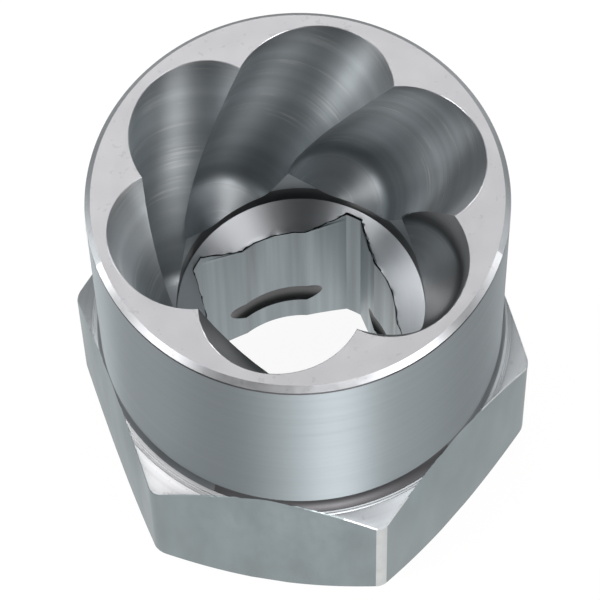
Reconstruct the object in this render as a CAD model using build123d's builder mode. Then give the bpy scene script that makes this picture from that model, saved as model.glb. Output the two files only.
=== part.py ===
# Bolt extractor socket: one piece of tool steel, turned and milled from round bar.
# A round barrel stands on a hexagonal wrench collar. Six slanting flutes are drilled into
# its mouth and meet in sharp left-hand ridges that bite into a rounded-off bolt head.
# The collar end takes the square of a ratchet.
# Units are millimetres. The origin is the centre of the base and +Z points to the mouth.

import os
from math import radians, tan

from build123d import *

# Outside of the piece
overall_height = 26.0
barrel_diameter = 21.95
barrel_rim_chamfer = 0.3
barrel_foot_radius = 1.0

# Wrench collar, milled on a wider band of the bar
bar_diameter = 25.4
hex_across_flats = 22.0
hex_edge_radius = 0.8
collar_height = 11.3
base_diameter = 22.2
collar_bevel_angle = 45.0

# Throat below the flutes, made with a standard twist drill point
drill_point_angle = 118.0
throat_diameter = 13.5
throat_ledge_height = 12.45

# Square drive for a 3/8 inch ratchet, broached through a pilot hole
drive_across_flats = 9.65
drive_corner_diameter = 12.8
drive_turn = 28.0
pilot_diameter = 10.3
countersink_diameter = 13.1

# Turned groove that catches the ratchet's detent ball
groove_diameter = 11.1
groove_section_diameter = 2.4
groove_height = 3.8

# Six flutes, each drilled by one pass of a tapered cutter held askew
flute_count = 6
flute_circle_diameter = 12.1
flute_turn = 33.0
flute_lean_inwards = 11.1
flute_lean_around = 20.3
flute_length = 12.55
cutter_mouth_diameter = 7.84
cutter_taper_angle = 3.4
cutter_corner_radius = 1.1
cutter_overrun = 6.0

# Sizes that follow from those above
barrel_radius = barrel_diameter / 2
bar_radius = bar_diameter / 2
base_radius = base_diameter / 2
throat_radius = throat_diameter / 2
bevel_slope = tan(radians(collar_bevel_angle))
top_bevel_height = (bar_radius - barrel_radius) * bevel_slope
base_bevel_height = (bar_radius - base_radius) * bevel_slope
point_slope = 1 / tan(radians(drill_point_angle / 2))
throat_point_height = throat_ledge_height - throat_radius * point_slope
countersink_depth = countersink_diameter / 2 * point_slope
groove_section_radius = groove_section_diameter / 2
groove_centre_radius = groove_diameter / 2 - groove_section_radius

cutter_slope = tan(radians(cutter_taper_angle))
cutter_shoulder_radius = cutter_mouth_diameter / 2 - flute_length * cutter_slope
cutter_outer_radius = cutter_mouth_diameter / 2 + cutter_overrun * cutter_slope
cutter_point_length = cutter_shoulder_radius * point_slope

# The cutter's own axis. It passes through the flute circle on the top face, and going down
# it leans towards the centre line and counter-clockwise as seen from above.
flute_centre = Vector(flute_circle_diameter / 2, 0, overall_height)
cutter_direction = Vector(
    tan(radians(flute_lean_inwards)),
    -tan(radians(flute_lean_around)),
    1,
).normalized()
cutter_side = cutter_direction.cross(Vector(1, 0, 0)).normalized()
cutter_plane = Plane(
    origin=flute_centre,
    x_dir=cutter_side,
    z_dir=cutter_side.cross(cutter_direction),
)


# Tapered cutter with rounded corners and a drill point, at the bottom of its stroke
with BuildPart() as flute_cutter:
    with BuildSketch(cutter_plane):
        with BuildLine():
            Polyline(
                (0, -flute_length - cutter_point_length),
                (cutter_shoulder_radius, -flute_length),
                (cutter_outer_radius, cutter_overrun),
                (0, cutter_overrun),
                close=True,
            )
        make_face()
        cutter_corner = vertices().sort_by_distance((cutter_shoulder_radius, -flute_length))[0]
        fillet(cutter_corner, cutter_corner_radius)
    revolve(axis=Axis(flute_centre, cutter_direction))


# The extractor itself
with BuildPart() as extractor_body:
    # Turned blank: bevelled base, collar band, bevelled shoulder and barrel
    with BuildSketch(Plane.XZ):
        with BuildLine():
            Polyline(
                (0, 0),
                (base_radius, 0),
                (bar_radius, base_bevel_height),
                (bar_radius, collar_height - top_bevel_height),
                (barrel_radius, collar_height),
                (barrel_radius, overall_height),
                (0, overall_height),
                close=True,
            )
        make_face()
        barrel_foot = vertices().sort_by_distance((barrel_radius, collar_height))[0]
        fillet(barrel_foot, barrel_foot_radius)
        barrel_rim = vertices().sort_by_distance((barrel_radius, overall_height))[0]
        chamfer(barrel_rim, barrel_rim_chamfer)
    revolve(axis=Axis.Z)

    # Six wrench flats with softened edges, corners on the X axis
    with BuildSketch():
        RegularPolygon(radius=hex_across_flats / 2, side_count=6, major_radius=False)
        fillet(vertices(), hex_edge_radius)
    extrude(amount=overall_height, mode=Mode.INTERSECT)

    # Throat, drilled from the mouth end down to its conical ledge
    with BuildSketch(Plane.XZ):
        with BuildLine():
            Polyline(
                (0, throat_point_height),
                (throat_radius, throat_ledge_height),
                (throat_radius, overall_height),
                (0, overall_height),
                close=True,
            )
        make_face()
    revolve(axis=Axis.Z, mode=Mode.SUBTRACT)

    # Pilot hole, its countersink at the base, and the detent groove
    with BuildSketch():
        Circle(pilot_diameter / 2)
    extrude(amount=throat_ledge_height, mode=Mode.SUBTRACT)
    with BuildSketch(Plane.XZ):
        with BuildLine():
            Polyline(
                (0, 0),
                (countersink_diameter / 2, 0),
                (0, countersink_depth),
                close=True,
            )
        make_face()
    revolve(axis=Axis.Z, mode=Mode.SUBTRACT)
    with BuildSketch(Plane.XZ):
        with Locations((groove_centre_radius, groove_height)):
            Circle(groove_section_radius)
    revolve(axis=Axis.Z, mode=Mode.SUBTRACT)

    # Broached square, its corners cut back by the round body of the broach
    with BuildSketch():
        Rectangle(drive_across_flats, drive_across_flats, rotation=drive_turn)
        Circle(drive_corner_diameter / 2, mode=Mode.INTERSECT)
    extrude(amount=throat_ledge_height, mode=Mode.SUBTRACT)

    # Six slanting flutes
    with PolarLocations(0, flute_count, start_angle=flute_turn):
        add(flute_cutter.part, mode=Mode.SUBTRACT)

extractor_body.part.label = "extractor_body"

os.makedirs("parts", exist_ok=True)
export_step(extractor_body.part, "parts/extractor_body.step")
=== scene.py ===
from math import atan2, cos, hypot, pi, radians, sin, tan

import bpy
from mathutils import Matrix, Vector, noise


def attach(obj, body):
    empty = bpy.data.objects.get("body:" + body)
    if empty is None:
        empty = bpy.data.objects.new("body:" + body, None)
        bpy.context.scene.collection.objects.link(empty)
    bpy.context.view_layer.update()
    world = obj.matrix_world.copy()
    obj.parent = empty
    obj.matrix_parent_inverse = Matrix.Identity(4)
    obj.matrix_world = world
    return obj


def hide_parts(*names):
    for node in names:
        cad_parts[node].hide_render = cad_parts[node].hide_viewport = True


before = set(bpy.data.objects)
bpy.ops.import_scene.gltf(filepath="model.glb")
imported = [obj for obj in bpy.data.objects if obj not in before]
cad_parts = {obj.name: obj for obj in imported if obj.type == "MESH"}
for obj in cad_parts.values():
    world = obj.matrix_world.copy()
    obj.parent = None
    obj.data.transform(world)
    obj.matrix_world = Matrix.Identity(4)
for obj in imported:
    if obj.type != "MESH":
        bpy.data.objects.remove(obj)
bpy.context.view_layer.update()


# Turned blank. A length of tool steel bar is turned in a lathe to a round barrel, which stands
# on a wider collar with a filleted foot. It is drawn in millimetres, and is brought to metres
# after the last cut.
OVERALL_HEIGHT = 26.0
BARREL_RADIUS = 10.975
COLLAR_RADIUS = 12.7
COLLAR_HEIGHT = 11.3
BASE_RADIUS = 11.1
RIM_CHAMFER = 0.3
FOOT_RADIUS = 1.0
LAND_DEGREES = 45
FOOT_DEGREES_PER_STEP = 9
BAR_SEGMENTS = 240

# A nick below the rim and fine lines in the lands, left by the corner of the lathe tool
RIM_NICK_HEIGHT = 25.60
RIM_NICK_WIDTH = 0.20
RIM_NICK_DEPTH = 0.04
LAND_LINE_WIDTH = 0.04
LAND_LINES = ((11.52, 0.006), (11.42, 0.010), (11.33, 0.012))


def kept_value(tree, name):
    """A value that each corner of each face keeps under its name."""
    kept = tree.nodes.new("ShaderNodeAttribute")
    kept.attribute_name = name
    return kept


def grain(tree, place, scale, detail):
    """Uneven shades from 0 to 1 at a place."""
    shades = tree.nodes.new("ShaderNodeTexNoise")
    shades.inputs["Scale"].default_value = scale
    shades.inputs["Detail"].default_value = detail
    tree.links.new(place, shades.inputs["Vector"])
    return shades


def spread(tree, value, low, high, least, most):
    """Spreads what lies from low to high over least to most."""
    span = tree.nodes.new("ShaderNodeMapRange")
    span.inputs["From Min"].default_value = low
    span.inputs["From Max"].default_value = high
    span.inputs["To Min"].default_value = least
    span.inputs["To Max"].default_value = most
    tree.links.new(value, span.inputs["Value"])
    return span.outputs["Result"]


def laid_over(tree, below, share, colour):
    """Lays a colour over the one below it, as far as the share goes."""
    cover = tree.nodes.new("ShaderNodeMix")
    cover.data_type = "RGBA"
    cover.inputs["B"].default_value = (*colour, 1)
    tree.links.new(share, cover.inputs["Factor"])
    tree.links.new(below, cover.inputs["A"])
    return cover.outputs["Result"]


def bare_steel(name, colour, roughness, marks_per_mm, marks_height, shine_stretch=0.0,
               mottling=0.2, painted_glints=0.0, pits=0.0, with_painted_darkening=False):
    """Bare steel as one tool leaves it, with marks that follow the way of that tool."""
    finish = bpy.data.materials.new(name)
    finish.use_nodes = True
    tree = finish.node_tree
    shader = tree.nodes["Principled BSDF"]
    shader.inputs["Metallic"].default_value = 1.0
    shader.inputs["Anisotropic"].default_value = shine_stretch
    shader.inputs["Anisotropic Rotation"].default_value = 0.25
    if shine_stretch:
        tool_lay = kept_value(tree, "tool_lay")
        tree.links.new(tool_lay.outputs["Vector"], shader.inputs["Tangent"])

    tool_marks = kept_value(tree, "tool_marks").outputs["Vector"]
    spacing = tree.nodes.new("ShaderNodeMapping")
    spacing.inputs["Scale"].default_value = marks_per_mm
    tree.links.new(tool_marks, spacing.inputs["Vector"])
    marks = grain(tree, spacing.outputs["Vector"], 1.0, 6)
    marks.inputs["Roughness"].default_value = 0.65
    dullness = spread(tree, marks.outputs["Fac"], 0, 1, roughness - 0.06, roughness + 0.06)
    tree.links.new(dullness, shader.inputs["Roughness"])
    ridges = tree.nodes.new("ShaderNodeBump")
    ridges.inputs["Distance"].default_value = marks_height
    tree.links.new(marks.outputs["Fac"], ridges.inputs["Height"])
    tree.links.new(ridges.outputs["Normal"], shader.inputs["Normal"])

    clouds = grain(tree, spacing.outputs["Vector"], 0.25, 5)
    tone = tree.nodes.new("ShaderNodeMix")
    tone.data_type = "RGBA"
    tone.inputs["A"].default_value = (*[part * (1 - mottling) for part in colour], 1)
    tone.inputs["B"].default_value = (*[part * (1 + mottling) for part in colour], 1)
    tree.links.new(clouds.outputs["Fac"], tone.inputs["Factor"])
    shown = tone.outputs["Result"]
    # Painted glints: the crests of the tool marks are laid over in near-white, in patches.
    if painted_glints:
        crests = spread(tree, marks.outputs["Fac"], 0.54, 0.72, 0, painted_glints)
        glint_clouds = grain(tree, tool_marks, 0.5, 3)
        patches = spread(tree, glint_clouds.outputs["Fac"], 0.46, 0.62, 0, 1)
        patchy = tree.nodes.new("ShaderNodeMath")
        patchy.operation = "MULTIPLY"
        tree.links.new(crests, patchy.inputs[0])
        tree.links.new(patches, patchy.inputs[1])
        shown = laid_over(tree, shown, patchy.outputs["Value"], (0.8, 0.8, 0.78))
    if pits:
        place = tree.nodes.new("ShaderNodeTexCoord")
        spots = grain(tree, place.outputs["Object"], 2600, 2)
        deep = spread(tree, spots.outputs["Fac"], 0.64, 0.72, 0, pits)
        shown = laid_over(tree, shown, deep, (0.06, 0.055, 0.05))
    # Painted dark reflection and shade on the flutes, as far as the share that each corner keeps.
    if with_painted_darkening:
        darkening_share = kept_value(tree, "painted_darkening")
        shown = laid_over(tree, shown, darkening_share.outputs["Fac"], (0.130, 0.139, 0.144))
    tree.links.new(shown, shader.inputs["Base Color"])
    return finish


def turned_shape(name, outline, segments, finish):
    """Extrudes and scales a ring of edges along the outline, a list of (radius, height)."""
    radius, height = outline[0]
    bpy.ops.object.select_all(action="DESELECT")
    bpy.ops.mesh.primitive_circle_add(
        vertices=segments, radius=radius, fill_type="NGON", location=(0, 0, height)
    )
    shape = bpy.context.active_object
    shape.name = shape.data.name = name
    shape.data.materials.append(finish)
    bpy.ops.object.transform_apply(location=True, rotation=True, scale=True)
    bpy.ops.object.mode_set(mode="EDIT")
    bpy.ops.mesh.select_mode(type="EDGE")
    bpy.ops.mesh.select_all(action="SELECT")
    for next_radius, next_height in outline[1:]:
        bpy.ops.mesh.extrude_edges_move(
            TRANSFORM_OT_translate={"value": (0, 0, next_height - height)}
        )
        growth = next_radius / radius
        bpy.ops.transform.resize(value=(growth, growth, 1), center_override=(0, 0, 0))
        radius, height = next_radius, next_height
    bpy.ops.mesh.edge_face_add()
    bpy.ops.mesh.select_all(action="SELECT")
    bpy.ops.mesh.normals_make_consistent(inside=False)
    bpy.ops.object.mode_set(mode="OBJECT")
    return shape


def fine_groove(radius, height, slope, width, depth):
    """Three points of an outline, where the corner of the lathe tool has cut a little deeper."""
    along = Vector((-cos(slope), sin(slope))) * width / 2
    inwards = Vector((-sin(slope), -cos(slope))) * depth
    middle = Vector((radius, height))
    return [tuple(middle - along), tuple(middle + inwards), tuple(middle + along)]


turned_steel = bare_steel(
    "turned_steel", (0.145, 0.170, 0.180), 0.46, (0.05, 0.05, 9), 0.5e-6, shine_stretch=0.79,
    mottling=0.1,
)
land_slope = radians(LAND_DEGREES)
land_top = BARREL_RADIUS + COLLAR_HEIGHT
foot_centre_radius = BARREL_RADIUS + FOOT_RADIUS
foot_centre_height = COLLAR_HEIGHT + FOOT_RADIUS * tan(land_slope / 2)
land_lines = []
for line_radius, line_depth in LAND_LINES:
    land_lines += fine_groove(
        line_radius, land_top - line_radius, land_slope, LAND_LINE_WIDTH, line_depth
    )
concave_foot = [
    (
        foot_centre_radius - FOOT_RADIUS * cos(radians(turn)),
        foot_centre_height - FOOT_RADIUS * sin(radians(turn)),
    )
    for turn in range(LAND_DEGREES, -1, -FOOT_DEGREES_PER_STEP)
]
socket = turned_shape(
    "extractor_steel",
    [
        (BASE_RADIUS, 0),
        (COLLAR_RADIUS, COLLAR_RADIUS - BASE_RADIUS),
        (COLLAR_RADIUS, land_top - COLLAR_RADIUS),
        *land_lines,
        *concave_foot,
        *fine_groove(
            BARREL_RADIUS, RIM_NICK_HEIGHT, radians(90), RIM_NICK_WIDTH, RIM_NICK_DEPTH
        ),
        (BARREL_RADIUS, OVERALL_HEIGHT - RIM_CHAMFER),
        (BARREL_RADIUS - RIM_CHAMFER, OVERALL_HEIGHT),
    ],
    BAR_SEGMENTS,
    turned_steel,
)


# Wrench collar. Six flats are milled on the wide band of the bar, and tumbling has rounded the
# edges between them. One of these edges and its rim are painted lighter as a highlight, and use
# has rubbed the rim of the next corner bright.
HEX_ACROSS_FLATS = 22.0
HEX_EDGE_RADIUS = 0.8
HEX_EDGE_SEGMENTS = 8
HALF_FLAT_TURN = radians(30)
TOOL_OVERRUN = 1.0
MERGING_DISTANCE = 0.002
SHORTEST_EDGE = 0.0005
COLLAR_EDGE_WIDTH = 0.06
LOWEST_BROKEN_EDGE = 0.01
LEAST_EDGE_SLANT = 0.1
MOST_EDGE_SLANT = 0.95
SHARP_TURN = radians(25)
HIGHLIT_CORNER = radians(300)
HIGHLIT_CORNER_REACH = radians(24)
RUBBED_CORNER = radians(350)
RUBBED_CORNER_REACH = radians(9)


def carve(shape, tool, operation):
    """Cuts a shape with a tool, whose finish stays on the faces that it leaves."""
    boolean = shape.modifiers.new(tool.name, "BOOLEAN")
    boolean.operation = operation
    boolean.object = tool
    boolean.solver = "EXACT"
    boolean.material_mode = "TRANSFER"
    bpy.ops.object.select_all(action="DESELECT")
    bpy.context.view_layer.objects.active = shape
    shape.select_set(True)
    bpy.ops.object.modifier_apply(modifier=boolean.name)
    bpy.data.objects.remove(tool)


def cut(tool, operation="DIFFERENCE"):
    """Cuts the socket with the tool, and clears the slivers that the cut leaves."""
    carve(socket, tool, operation)
    bpy.ops.object.mode_set(mode="EDIT")
    bpy.ops.mesh.select_all(action="SELECT")
    bpy.ops.mesh.remove_doubles(threshold=MERGING_DISTANCE)
    bpy.ops.mesh.dissolve_degenerate(threshold=SHORTEST_EDGE)
    bpy.ops.object.mode_set(mode="OBJECT")


def deselect_edges():
    bpy.ops.object.mode_set(mode="EDIT")
    bpy.ops.mesh.select_mode(type="EDGE")
    bpy.ops.mesh.select_all(action="DESELECT")
    bpy.ops.object.mode_set(mode="OBJECT")


def finish_names():
    return [finish.name for finish in socket.data.materials]


def select_edges_between(first, second, lowest, least_turn=0.0):
    """Selects the edges above a height where a face of one finish meets one of another."""
    slots = finish_names()
    deselect_edges()
    sides = {}
    for face in socket.data.polygons:
        for key in face.edge_keys:
            sides.setdefault(key, []).append(face)
    for edge in socket.data.edges:
        faces = sides.get(edge.key, [])
        names = {slots[face.material_index] for face in faces}
        height = max(socket.data.vertices[corner].co.z for corner in edge.vertices)
        if len(faces) == 2 and names == {first, second} and height > lowest:
            edge.select = faces[0].normal.angle(faces[1].normal, 0) > least_turn


def break_selected_edges(width, finish):
    slot = finish_names().index(finish)
    bpy.ops.object.mode_set(mode="EDIT")
    bpy.ops.mesh.bevel(offset=width, segments=1, affect="EDGES", material=slot)
    bpy.ops.object.mode_set(mode="OBJECT")


def outwards_at(turn):
    """The way straight out from the axis, at a turn from the first corner."""
    return Vector((cos(turn), sin(turn), 0))


milled_steel = bare_steel(
    "milled_steel", (0.165, 0.198, 0.206), 0.45, (2, 2, 0.6), 1e-6, mottling=0.25
)
bpy.ops.object.select_all(action="DESELECT")
bpy.ops.mesh.primitive_cylinder_add(
    vertices=6,
    radius=HEX_ACROSS_FLATS / 2 / cos(HALF_FLAT_TURN),
    depth=2 * (OVERALL_HEIGHT + TOOL_OVERRUN),
    location=(0, 0, 0),
    rotation=(0, 0, HALF_FLAT_TURN),
)
hexagon = bpy.context.active_object
hexagon.name = "wrench_flats"
hexagon.data.materials.append(milled_steel)
bpy.ops.object.transform_apply(location=True, rotation=True, scale=True)
deselect_edges()
for edge in hexagon.data.edges:
    start, end = (hexagon.data.vertices[corner].co for corner in edge.vertices)
    edge.select = abs(start.z - end.z) > OVERALL_HEIGHT
bpy.ops.object.mode_set(mode="EDIT")
bpy.ops.mesh.bevel(
    offset=HEX_EDGE_RADIUS * tan(HALF_FLAT_TURN), segments=HEX_EDGE_SEGMENTS, affect="EDGES"
)
bpy.ops.object.mode_set(mode="OBJECT")
cut(hexagon, "INTERSECT")

# Lighter steel: a painted highlight on one rounded edge, and rubbed wear on the next corner's
# rim.
socket.data.materials.append(
    bare_steel("worn_and_highlit_steel", (0.40, 0.42, 0.42), 0.42, (2, 2, 2), 0.6e-6)
)
slots = finish_names()
# The rounded edge at one corner is painted lighter as a highlight.
for face in socket.data.polygons:
    if slots[face.material_index] == "milled_steel":
        if face.normal.angle(outwards_at(HIGHLIT_CORNER)) < HIGHLIT_CORNER_REACH:
            face.material_index = slots.index("worn_and_highlit_steel")
select_edges_between("milled_steel", "turned_steel", LOWEST_BROKEN_EDGE, SHARP_TURN)
break_selected_edges(COLLAR_EDGE_WIDTH, "milled_steel")

# The bevel dips a hair below the base, where an arc of the collar runs out on it.
for vertex in socket.data.vertices:
    vertex.co.z = max(vertex.co.z, 0)
for face in socket.data.polygons:
    slanting = LEAST_EDGE_SLANT < face.normal.z < MOST_EDGE_SLANT
    if slots[face.material_index] == "milled_steel" and slanting:
        outwards = Vector((face.center.x, face.center.y, 0))
        # At the first corner these strips are part of the painted highlight; at the second they
        # are rubbed wear.
        for corner in (HIGHLIT_CORNER, RUBBED_CORNER):
            if outwards.angle(outwards_at(corner)) < RUBBED_CORNER_REACH:
                face.material_index = slots.index("worn_and_highlit_steel")


# Throat and pilot. The throat is drilled from the mouth to a conical ledge, and a band of its
# wall above the ledge is painted dark as shade. A smaller pilot goes on through the base, where
# it is countersunk, and is burnished by the broach that follows it.
POINT_ANGLE = radians(118 / 2)
POINT_SLOPE = 1 / tan(POINT_ANGLE)
POINT_TIP = 0.02
THROAT_RADIUS = 6.75
LEDGE_HEIGHT = 12.45
SHADE_BAND_HEIGHT = 1.3
PILOT_RADIUS = 5.15
COUNTERSINK_RADIUS = 6.55
COUNTERSINK_OVERRUN = 0.1
BORE_SEGMENTS = 180

# Close rings of edges on both sides of the ledge's inner edge, which the broach will tear
RING_SPACING = 0.15
LEDGE_RINGS = 12
LEDGE_RINGS_WIDTH = 1.9
WALL_RINGS = 10
WALL_RINGS_DEPTH = 1.4
LOWEST_PILOT_RING = 5
PILOT_RINGS_RISE = 0.06
ledge_steps = [LEDGE_RINGS_WIDTH - RING_SPACING * ring for ring in range(LEDGE_RINGS)]
wall_levels = [
    LEDGE_HEIGHT - WALL_RINGS_DEPTH + RING_SPACING * ring for ring in range(WALL_RINGS)
]
pilot_levels = (
    -TOOL_OVERRUN, LOWEST_PILOT_RING, *[level + PILOT_RINGS_RISE for level in wall_levels]
)
bored_steel = bare_steel(
    "bored_steel", (0.38, 0.41, 0.43), 0.38, (0.1, 0.1, 7), 1.5e-6, shine_stretch=0.6
)
broached_steel = bare_steel(
    "broached_steel", (0.262, 0.300, 0.316), 0.45, (4, 4, 0.1), 1.5e-6, shine_stretch=0.6,
    mottling=0.9,
)
cut(
    turned_shape(
        "throat_drill",
        [
            (POINT_TIP, LEDGE_HEIGHT - (THROAT_RADIUS - POINT_TIP) * POINT_SLOPE),
            *[
                (THROAT_RADIUS - step, LEDGE_HEIGHT - step * POINT_SLOPE)
                for step in ledge_steps
            ],
            (THROAT_RADIUS, LEDGE_HEIGHT),
            (THROAT_RADIUS, LEDGE_HEIGHT + SHADE_BAND_HEIGHT),
            (THROAT_RADIUS, OVERALL_HEIGHT + TOOL_OVERRUN),
        ],
        BORE_SEGMENTS,
        bored_steel,
    )
)
cut(
    turned_shape(
        "pilot_drill",
        [(PILOT_RADIUS, level) for level in pilot_levels],
        BORE_SEGMENTS,
        broached_steel,
    )
)
cut(
    turned_shape(
        "countersink",
        [
            (COUNTERSINK_RADIUS + COUNTERSINK_OVERRUN / POINT_SLOPE, -COUNTERSINK_OVERRUN),
            (POINT_TIP, (COUNTERSINK_RADIUS - POINT_TIP) * POINT_SLOPE),
        ],
        BORE_SEGMENTS,
        bored_steel,
    )
)


# Detent groove, turned inside the pilot hole for the ball of a ratchet. The square, broached
# after it, leaves a crescent of it in each wall.
GROOVE_RADIUS = 5.55
GROOVE_SECTION_RADIUS = 1.2
GROOVE_SECTION_SEGMENTS = 40
GROOVE_HEIGHT = 3.8
# Painted shade: the groove's faces and a band of the throat wall take this dark steel as shade in
# their recesses.
recess_shade_steel = bare_steel(
    "recess_shade_steel", (0.13, 0.13, 0.13), 0.32, (0.1, 0.1, 7), 1e-6, shine_stretch=0.5
)
bpy.ops.object.select_all(action="DESELECT")
bpy.ops.mesh.primitive_torus_add(
    major_radius=GROOVE_RADIUS - GROOVE_SECTION_RADIUS,
    minor_radius=GROOVE_SECTION_RADIUS,
    major_segments=BORE_SEGMENTS,
    minor_segments=GROOVE_SECTION_SEGMENTS,
    location=(0, 0, GROOVE_HEIGHT),
)
groove = bpy.context.active_object
groove.name = "detent_groove"
groove.data.materials.append(recess_shade_steel)
bpy.ops.object.transform_apply(location=True, rotation=True, scale=True)
cut(groove)


# Square drive, broached through the pilot hole for a 3/8 inch ratchet. The round body of the
# broach cuts the corners back, and each pass of its teeth leaves streaks along the hole.
DRIVE_ACROSS_FLATS = 9.65
DRIVE_CORNER_RADIUS = 6.4
DRIVE_TURN = radians(28)
HALF_SIDE_TURN = radians(45)
LOWEST_BROACH_RING = 6
BROACH_OVERRUN = 3
broach_levels = (
    -BROACH_OVERRUN, LOWEST_BROACH_RING, *wall_levels, LEDGE_HEIGHT + BROACH_OVERRUN
)
broach = turned_shape(
    "square_broach",
    [(DRIVE_ACROSS_FLATS / 2 / cos(HALF_SIDE_TURN), level) for level in broach_levels],
    4,
    broached_steel,
)
broach.rotation_euler.z = HALF_SIDE_TURN + DRIVE_TURN
bpy.ops.object.transform_apply(location=True, rotation=True, scale=True)
broach_body = turned_shape(
    "broach_body",
    [(DRIVE_CORNER_RADIUS, level) for level in broach_levels],
    BAR_SEGMENTS,
    broached_steel,
)
carve(broach, broach_body, "INTERSECT")
cut(broach)


# Six flutes. A tapered cutter with rounded corners and a drill point, held askew, goes once
# down into the mouth for each. It chatters as it goes and leaves arcs round its own axis, and
# its point leaves a duller floor. The flutes meet in sharp ridges that bite into a bolt head.
FLUTE_COUNT = 6
FLUTE_CIRCLE_RADIUS = 6.05
FLUTE_TURN = radians(33)
FLUTE_LENGTH = 12.55
LEAN_INWARDS = radians(11.1)
LEAN_AROUND = radians(20.3)
CUTTER_MOUTH_RADIUS = 3.92
CUTTER_TAPER = radians(3.4)
CUTTER_CORNER_RADIUS = 1.1
CUTTER_OVERRUN = 3
CUTTER_SEGMENTS = 120
CUTTER_WALL_RINGS = 44
CUTTER_CORNER_RINGS = 8
CUTTER_POINT_RINGS = 4
INNERMOST_POINT_RING = 0.6
SLOW_CHATTER = 0.0025
SLOW_CHATTER_PER_MM = 5.1
QUICK_CHATTER = 0.0015
QUICK_CHATTER_PER_MM = 11.3
# The flute finishes carry painted glints on the crests of their marks, and painted dark
# reflection and shade.
drilled_steel = bare_steel(
    "drilled_steel", (0.385, 0.430, 0.450), 0.46, (0.12, 0.12, 4), 1.1e-6, shine_stretch=0.55,
    mottling=0.3, painted_glints=0.5, with_painted_darkening=True,
)
crushed_steel = bare_steel(
    "crushed_steel", (0.33, 0.365, 0.385), 0.46, (0.12, 0.12, 9), 1.2e-6, mottling=0.3,
    painted_glints=0.5, with_painted_darkening=True,
)
cutter_slope = tan(CUTTER_TAPER)
cutter_direction = Vector((tan(LEAN_INWARDS), -tan(LEAN_AROUND), 1)).normalized()
cutter_seat = Matrix.Translation((FLUTE_CIRCLE_RADIUS, 0, OVERALL_HEIGHT)) @ (
    cutter_direction.to_track_quat("Z", "X").to_matrix().to_4x4()
)
flute_seats = [
    Matrix.Rotation(FLUTE_TURN + 2 * pi * place / FLUTE_COUNT, 4, "Z") @ cutter_seat
    for place in range(FLUTE_COUNT)
]
to_cutters = [seat.inverted() for seat in flute_seats]
shoulder_radius = CUTTER_MOUTH_RADIUS - FLUTE_LENGTH * cutter_slope
setback = CUTTER_CORNER_RADIUS * tan((POINT_ANGLE + CUTTER_TAPER) / 2)
corner_centre_radius = shoulder_radius - CUTTER_CORNER_RADIUS
corner_centre_depth = FLUTE_LENGTH - setback
point_rings_width = shoulder_radius - setback * sin(POINT_ANGLE) - INNERMOST_POINT_RING
cutter_outline = [(POINT_TIP, -FLUTE_LENGTH - (shoulder_radius - POINT_TIP) * POINT_SLOPE)]
for ring in range(CUTTER_POINT_RINGS):
    reach = INNERMOST_POINT_RING + ring * point_rings_width / CUTTER_POINT_RINGS
    cutter_outline.append((reach, -FLUTE_LENGTH - (shoulder_radius - reach) * POINT_SLOPE))
for ring in range(CUTTER_CORNER_RINGS + 1):
    swing = POINT_ANGLE * (1 - ring / CUTTER_CORNER_RINGS)
    cutter_outline.append(
        (
            corner_centre_radius + CUTTER_CORNER_RADIUS * cos(swing),
            -corner_centre_depth - CUTTER_CORNER_RADIUS * sin(swing),
        )
    )
for ring in range(1, CUTTER_WALL_RINGS + 1):
    risen = ring * (corner_centre_depth + CUTTER_OVERRUN) / CUTTER_WALL_RINGS
    depth = corner_centre_depth - risen
    slow_chatter = SLOW_CHATTER * sin(depth * SLOW_CHATTER_PER_MM)
    quick_chatter = QUICK_CHATTER * sin(depth * QUICK_CHATTER_PER_MM + 1)
    radius = CUTTER_MOUTH_RADIUS - depth * cutter_slope + slow_chatter + quick_chatter
    cutter_outline.append((radius, -depth))
for seat in flute_seats:
    cutter = turned_shape("flute_cutter", cutter_outline, CUTTER_SEGMENTS, drilled_steel)
    cutter.matrix_world = seat
    bpy.ops.object.transform_apply(location=True, rotation=True, scale=True)
    cut(cutter)


def cutter_of(point):
    """Which of the six flutes the point lies in: no other cutter comes as near to it."""

    def gap(place):
        seen = to_cutters[place] @ point
        reach = hypot(seen.x, seen.y)
        outside_wall = reach - CUTTER_MOUTH_RADIUS - seen.z * cutter_slope
        below_point = -seen.z - FLUTE_LENGTH - (shoulder_radius - reach) * POINT_SLOPE
        return max(outside_wall, below_point)

    return min(range(FLUTE_COUNT), key=gap)


socket.data.materials.append(crushed_steel)
slots = finish_names()
for face in socket.data.polygons:
    if slots[face.material_index] == "drilled_steel":
        seen = to_cutters[cutter_of(face.center)] @ face.center
        if hypot(seen.x, seen.y) < shoulder_radius - CUTTER_CORNER_RADIUS / 3:
            face.material_index = slots.index("crushed_steel")


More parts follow.
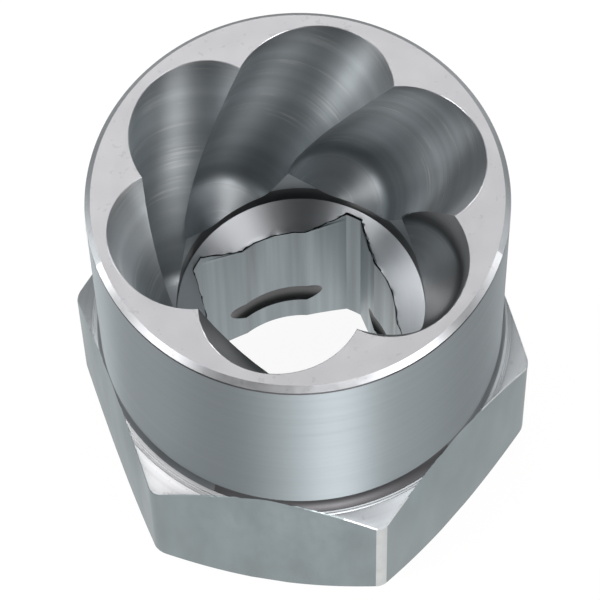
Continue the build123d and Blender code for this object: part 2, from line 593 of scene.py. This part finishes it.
# Faces that a later step has gone over. The mouth face and the base are ground flat, and the
# slanting lands and the rim are turned bright. One land and the front of the rim are painted
# lighter as highlights. Painted shade darkens a band of the throat wall, the foot of the barrel
# and the lands beside its front, and the rim's nick.
FLAT_SLANT = 0.999
LAND_SLANT = 0.6
FOOT_SLANT = 0.02
BORE_SLANT = 0.1
HIGHLIT_LAND_CORNER = radians(240)
HIGHLIT_LAND_CORNER_REACH = radians(30)
HIGHLIT_RIM_START = radians(210)
HIGHLIT_RIM_END = radians(352)
FOOT_SHADE_START = radians(255)
FOOT_SHADE_END = radians(325)
FOOT_SHADE_RADIUS = 11.3
for finish in (
    bare_steel(
        "ground_steel", (0.330, 0.345, 0.360), 0.50, (2, 2, 2), 0.6e-6, mottling=0.12, pits=0.12
    ),
    bare_steel("bright_steel", (0.138, 0.153, 0.161), 0.46, (0.05, 0.05, 6), 0.6e-6, pits=0.2),
    # A lighter copy of the lands' steel, as a painted highlight on one land.
    bare_steel(
        "highlit_land_steel", (0.215, 0.228, 0.236), 0.46, (0.05, 0.05, 6), 1e-6, mottling=0.3,
        pits=0.3,
    ),
    # Lighter steel, as a painted highlight on the front of the rim.
    bare_steel("rim_steel", (0.22, 0.235, 0.245), 0.36, (2, 2, 2), 0.6e-6, pits=0.2),
    # Painted shade for the foot of the barrel.
    bare_steel("foot_shade_steel", (0.070, 0.078, 0.083), 0.50, (2, 2, 2), 1e-6, mottling=0.3),
    # Black painted shade, for the nick, the front of the foot and the lands beside it, and the
    # torn edges of the ledge.
    bare_steel("painted_shade_steel", (0.033, 0.034, 0.036), 0.50, (2, 2, 2), 2e-6),
):
    socket.data.materials.append(finish)


def turned_face_finish(face):
    """The finish of a turned face by its slant and its place on the socket, painted highlights
    and painted shade among them.
    """
    height = face.center.z
    slant = face.normal.z
    turn = atan2(face.center.y, face.center.x) % (2 * pi)
    in_foot_shade = FOOT_SHADE_START < turn < FOOT_SHADE_END
    if abs(slant) > FLAT_SLANT:
        return "ground_steel"
    # The rim's nick is painted black as shade.
    if abs(height - RIM_NICK_HEIGHT) < RIM_NICK_WIDTH / 2:
        return "painted_shade_steel"
    if slant > LAND_SLANT and height > RIM_NICK_HEIGHT:
        # The front of the rim gets the lighter steel as a painted highlight.
        return "rim_steel" if HIGHLIT_RIM_START < turn < HIGHLIT_RIM_END else "bright_steel"
    # One land gets a lighter steel as a painted highlight.
    if slant > LAND_SLANT and abs(turn - HIGHLIT_LAND_CORNER) < HIGHLIT_LAND_CORNER_REACH:
        return "highlit_land_steel"
    if slant > LAND_SLANT:
        # The lands at the front, close in to the foot, are painted black as shade.
        close_in = hypot(*face.center.xy) < FOOT_SHADE_RADIUS
        return "painted_shade_steel" if close_in and in_foot_shade else "bright_steel"
    # The foot of the barrel is painted dark as shade, and black at the front.
    if slant > FOOT_SLANT:
        return "painted_shade_steel" if in_foot_shade else "foot_shade_steel"
    return "turned_steel"


slots = finish_names()
for face in socket.data.polygons:
    finish = slots[face.material_index]
    if finish == "turned_steel":
        finish = turned_face_finish(face)
    elif finish == "bored_steel" and abs(face.normal.z) < BORE_SLANT:
        # A band of the throat wall above the ledge takes the dark steel as painted shade.
        if LEDGE_HEIGHT < face.center.z < LEDGE_HEIGHT + SHADE_BAND_HEIGHT:
            finish = "recess_shade_steel"
    face.material_index = slots.index(finish)


# Worn edges and burrs. Handling has broken the edges of the mouth. The broach has torn the
# ledge where it went in, most of all at one corner, and the tears are painted black as the shadow
# under the burrs.
MOUTH_EDGE_WIDTH = 0.03
TORN_EDGE_WIDTH = 0.05
TORN_EDGE_WANDER = 0.08
TORN_EDGE_WAVES_PER_MM = 2.2
TORN_CORNER_START = radians(40)
TORN_CORNER_END = radians(80)
TORN_CORNER_WIDTH = 0.10


def select_torn_edges():
    select_edges_between("broached_steel", "bored_steel", LEDGE_HEIGHT / 2, SHARP_TURN)


select_edges_between("drilled_steel", "ground_steel", LEDGE_HEIGHT)
break_selected_edges(MOUTH_EDGE_WIDTH, "rim_steel")
select_torn_edges()
torn = {corner for edge in socket.data.edges if edge.select for corner in edge.vertices}
for corner in torn:
    vertex = socket.data.vertices[corner]
    vertex.co += noise.noise_vector(vertex.co * TORN_EDGE_WAVES_PER_MM) * TORN_EDGE_WANDER
for edge in socket.data.edges:
    if edge.select:
        x, y, z = socket.data.vertices[edge.vertices[0]].co
        edge.select = TORN_CORNER_START < atan2(y, x) < TORN_CORNER_END
# Painted shadow under the burrs: black strips along the torn edge, wider at one corner.
break_selected_edges(TORN_CORNER_WIDTH, "painted_shade_steel")
select_torn_edges()
break_selected_edges(TORN_EDGE_WIDTH, "painted_shade_steel")


# Tool marks and painted darkening. Each face keeps where it lies in the frame of the tool that
# cut it and the way that the tool went, and its finish draws the marks and the shine from these.
# Painted dark reflection and shade make one flute black, its neighbours on one side, and every
# mouth a little.
DARK_MOUTH_DEPTH = 1.8
DARK_MOUTH_SHARE = 0.5
DARKEST_FLUTE = 4
DARK_WALL_FLUTE = 5
DARK_WALL_START = 0.6
DARK_SIDE = radians(281)

# For a flute beside the black one: how far round from the middle of the black side it is black
# all over, how far round the black ends, and how black it is.
DARK_NEIGHBOURS = {
    0: (radians(108), radians(119), 0.65),
    5: (radians(94), radians(111), 1.0),
}
LEAST_REACH = 1e-6
to_broach = Matrix.Rotation(-DRIVE_TURN, 4, "Z")


def rise(value, low, high):
    """Goes softly from 0 at low to 1 at high."""
    share = min(max((value - low) / (high - low), 0), 1)
    return share * share * (3 - 2 * share)


def painted_darkening_share(place, point, reach):
    """How much painted dark reflection and shade lie at a point of a flute, which lies reach off
    its axis.
    """
    if place == DARKEST_FLUTE:
        return 1
    share = DARK_MOUTH_SHARE * rise(
        point.z, OVERALL_HEIGHT - DARK_MOUTH_DEPTH, OVERALL_HEIGHT
    )
    if place in DARK_NEIGHBOURS:
        full, end, most = DARK_NEIGHBOURS[place]
        turn = Vector((point.x, point.y, 0)).angle(outwards_at(DARK_SIDE))
        share = max(share, most * (1 - rise(turn, full, end)))
    if place == DARK_WALL_FLUTE:
        share = max(share, rise(reach, shoulder_radius - DARK_WALL_START, shoulder_radius))
    return share


socket.data.attributes.new("tool_marks", "FLOAT_VECTOR", "CORNER")
socket.data.attributes.new("tool_lay", "FLOAT_VECTOR", "CORNER")
socket.data.attributes.new("painted_darkening", "FLOAT", "CORNER")
marks = socket.data.attributes["tool_marks"]
lay = socket.data.attributes["tool_lay"]
painted_darkening = socket.data.attributes["painted_darkening"]
for face in socket.data.polygons:
    finish = slots[face.material_index]
    in_flute = finish in ("drilled_steel", "crushed_steel")
    seat = Matrix.Identity(4)
    to_tool = seat
    if in_flute:
        place = cutter_of(face.center)
        seat = flute_seats[place]
        to_tool = to_cutters[place]
    for corner in face.loop_indices:
        point = socket.data.vertices[socket.data.loops[corner].vertex_index].co
        seen = to_tool @ point
        reach = max(hypot(seen.x, seen.y), LEAST_REACH)
        if in_flute:
            painted_darkening.data[corner].value = painted_darkening_share(place, point, reach)
        if finish in ("broached_steel", "milled_steel"):
            marks.data[corner].vector = to_broach @ point
            lay.data[corner].vector = (0, 0, 1)
        else:
            marks.data[corner].vector = (seen.x, seen.y, seen.z - reach)
            lay.data[corner].vector = seat.to_3x3() @ Vector((-seen.y / reach, seen.x / reach, 0))


# The finished socket, brought from millimetres to metres. It stands for the plain solid, on the
# same body, and is one piece of tool steel.
SMOOTH_TURN = radians(20)
MILLIMETRE = 0.001
bpy.ops.object.mode_set(mode="EDIT")
bpy.ops.mesh.select_all(action="SELECT")
bpy.ops.transform.resize(
    value=(MILLIMETRE, MILLIMETRE, MILLIMETRE), center_override=(0, 0, 0)
)
bpy.ops.object.mode_set(mode="OBJECT")
bpy.ops.object.shade_smooth_by_angle(angle=SMOOTH_TURN)
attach(socket, "root")
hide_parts("extractor_body")


# White table that the socket stands on. It is seen as white, in the steel too, and keeps a
# faint shadow of the socket.
TABLE_WIDTH = 4
WHITENESS = 0.94
bpy.ops.object.select_all(action="DESELECT")
bpy.ops.mesh.primitive_plane_add(size=TABLE_WIDTH, location=(0, 0, 0))
floor = bpy.context.active_object
floor.name = "floor"
white_floor = bpy.data.materials.new("white_floor")
white_floor.use_nodes = True
nodes = white_floor.node_tree.nodes
links = white_floor.node_tree.links
matte = nodes["Principled BSDF"]
matte.inputs["Base Color"].default_value = (0.8, 0.8, 0.8, 1)
matte.inputs["Roughness"].default_value = 0.9
glow = nodes.new("ShaderNodeEmission")
glow.inputs["Color"].default_value = (1, 1, 1, 1)
glow.inputs["Strength"].default_value = 1.0
path = nodes.new("ShaderNodeLightPath")
seen = path.outputs["Is Camera Ray"]
for ray in ("Is Glossy Ray", "Is Transmission Ray"):
    either = nodes.new("ShaderNodeMath")
    either.operation = "MAXIMUM"
    links.new(seen, either.inputs[0])
    links.new(path.outputs[ray], either.inputs[1])
    seen = either.outputs["Value"]
share = nodes.new("ShaderNodeMath")
share.operation = "MULTIPLY"
share.inputs[1].default_value = WHITENESS
links.new(seen, share.inputs[0])
mix = nodes.new("ShaderNodeMixShader")
links.new(share.outputs["Value"], mix.inputs["Fac"])
links.new(matte.outputs["BSDF"], mix.inputs[1])
links.new(glow.outputs["Emission"], mix.inputs[2])
links.new(mix.outputs["Shader"], nodes["Material Output"].inputs["Surface"])
floor.data.materials.append(white_floor)


# Soft studio light. Each lamp has an azimuth, counted anticlockwise from above with 270 at the
# camera, an elevation, a width and height in metres, and a power. All stand equally far from
# the middle of the socket.
CAMERA_TURN = radians(11.40)
LAMP_TARGET = Vector((0, 0, 0.013))
LAMP_DISTANCE = 0.5
LAMP_COLOUR = (1, 0.945, 0.935)
ROOM_LIGHT = 0.02
world = bpy.data.worlds.new("studio")
bpy.context.scene.world = world
world.use_nodes = True
world.node_tree.nodes["Background"].inputs["Color"].default_value = (1, 1, 1, 1)
world.node_tree.nodes["Background"].inputs["Strength"].default_value = ROOM_LIGHT


def soft_lamp(name, azimuth, elevation, size, power):
    light = bpy.data.lights.new(name, "AREA")
    light.shape = "RECTANGLE"
    light.size, light.size_y = size
    light.energy = power
    light.color = LAMP_COLOUR
    holder = bpy.data.objects.new(name, light)
    bpy.context.scene.collection.objects.link(holder)
    turn = radians(azimuth) + CAMERA_TURN
    tilt = radians(elevation)
    outwards = Vector((cos(turn) * cos(tilt), sin(turn) * cos(tilt), sin(tilt)))
    holder.location = LAMP_TARGET + outwards * LAMP_DISTANCE
    holder.rotation_euler = outwards.to_track_quat("Z", "Y").to_euler()


soft_lamp("table_strip", 282, 0.4, (0.19, 0.02), 4.6)
soft_lamp("side_table_strip", 261, 0.4, (0.14, 0.02), 0.9)
soft_lamp("front_high_lamp", 219, 45, (0.18, 0.18), 0.55)
soft_lamp("left_strip", 172, 0.4, (0.18, 0.02), 1.5)
soft_lamp("left_lamp", 209, 27, (0.18, 0.15), 1.45)
soft_lamp("left_high_lamp", 152, 47, (0.18, 0.18), 1.4)
soft_lamp("left_back_strip", 120, 14, (0.18, 0.08), 0.9)
soft_lamp("right_lamp", 316, 30, (0.18, 0.15), 2.0)
soft_lamp("right_strip", 4, 14, (0.28, 0.08), 0.5)
soft_lamp("right_high_lamp", 326, 56, (0.20, 0.20), 0.55)
soft_lamp("right_low_strip", 10, 0.4, (0.12, 0.02), 0.55)
soft_lamp("right_back_strip", 52, 12, (0.20, 0.08), 1.2)
soft_lamp("overhead_lamp", 85, 57, (0.30, 0.22), 0.9)


# Camera, close above the front of the socket. It looks down at the angle of the photo, with the
# same small roll, and keeps the whole socket in view.
CAMERA_ELEVATION = radians(64.46)
CAMERA_ROLL = radians(-1.74)
CAMERA_DISTANCE = 0.2195
CAMERA_LENS = 241.1
CAMERA_SHIFT = (-0.000038, 0.000943)
CAMERA_AIM_HEIGHT = 0.011447
camera_lens = bpy.data.cameras.new("camera")
camera_lens.sensor_width = 36
camera_lens.lens = CAMERA_LENS
camera_lens.clip_start = 0.01
camera_lens.clip_end = 10
camera = bpy.data.objects.new("camera", camera_lens)
bpy.context.scene.collection.objects.link(camera)
bpy.context.scene.camera = camera
camera.matrix_world = (
    Matrix.Translation((0, 0, CAMERA_AIM_HEIGHT))
    @ Matrix.Rotation(CAMERA_TURN, 4, "Z")
    @ Matrix.Rotation(pi / 2 - CAMERA_ELEVATION, 4, "X")
    @ Matrix.Translation((*CAMERA_SHIFT, CAMERA_DISTANCE))
    @ Matrix.Rotation(CAMERA_ROLL, 4, "Z")
)
bpy.context.scene.view_settings.view_transform = "Standard"
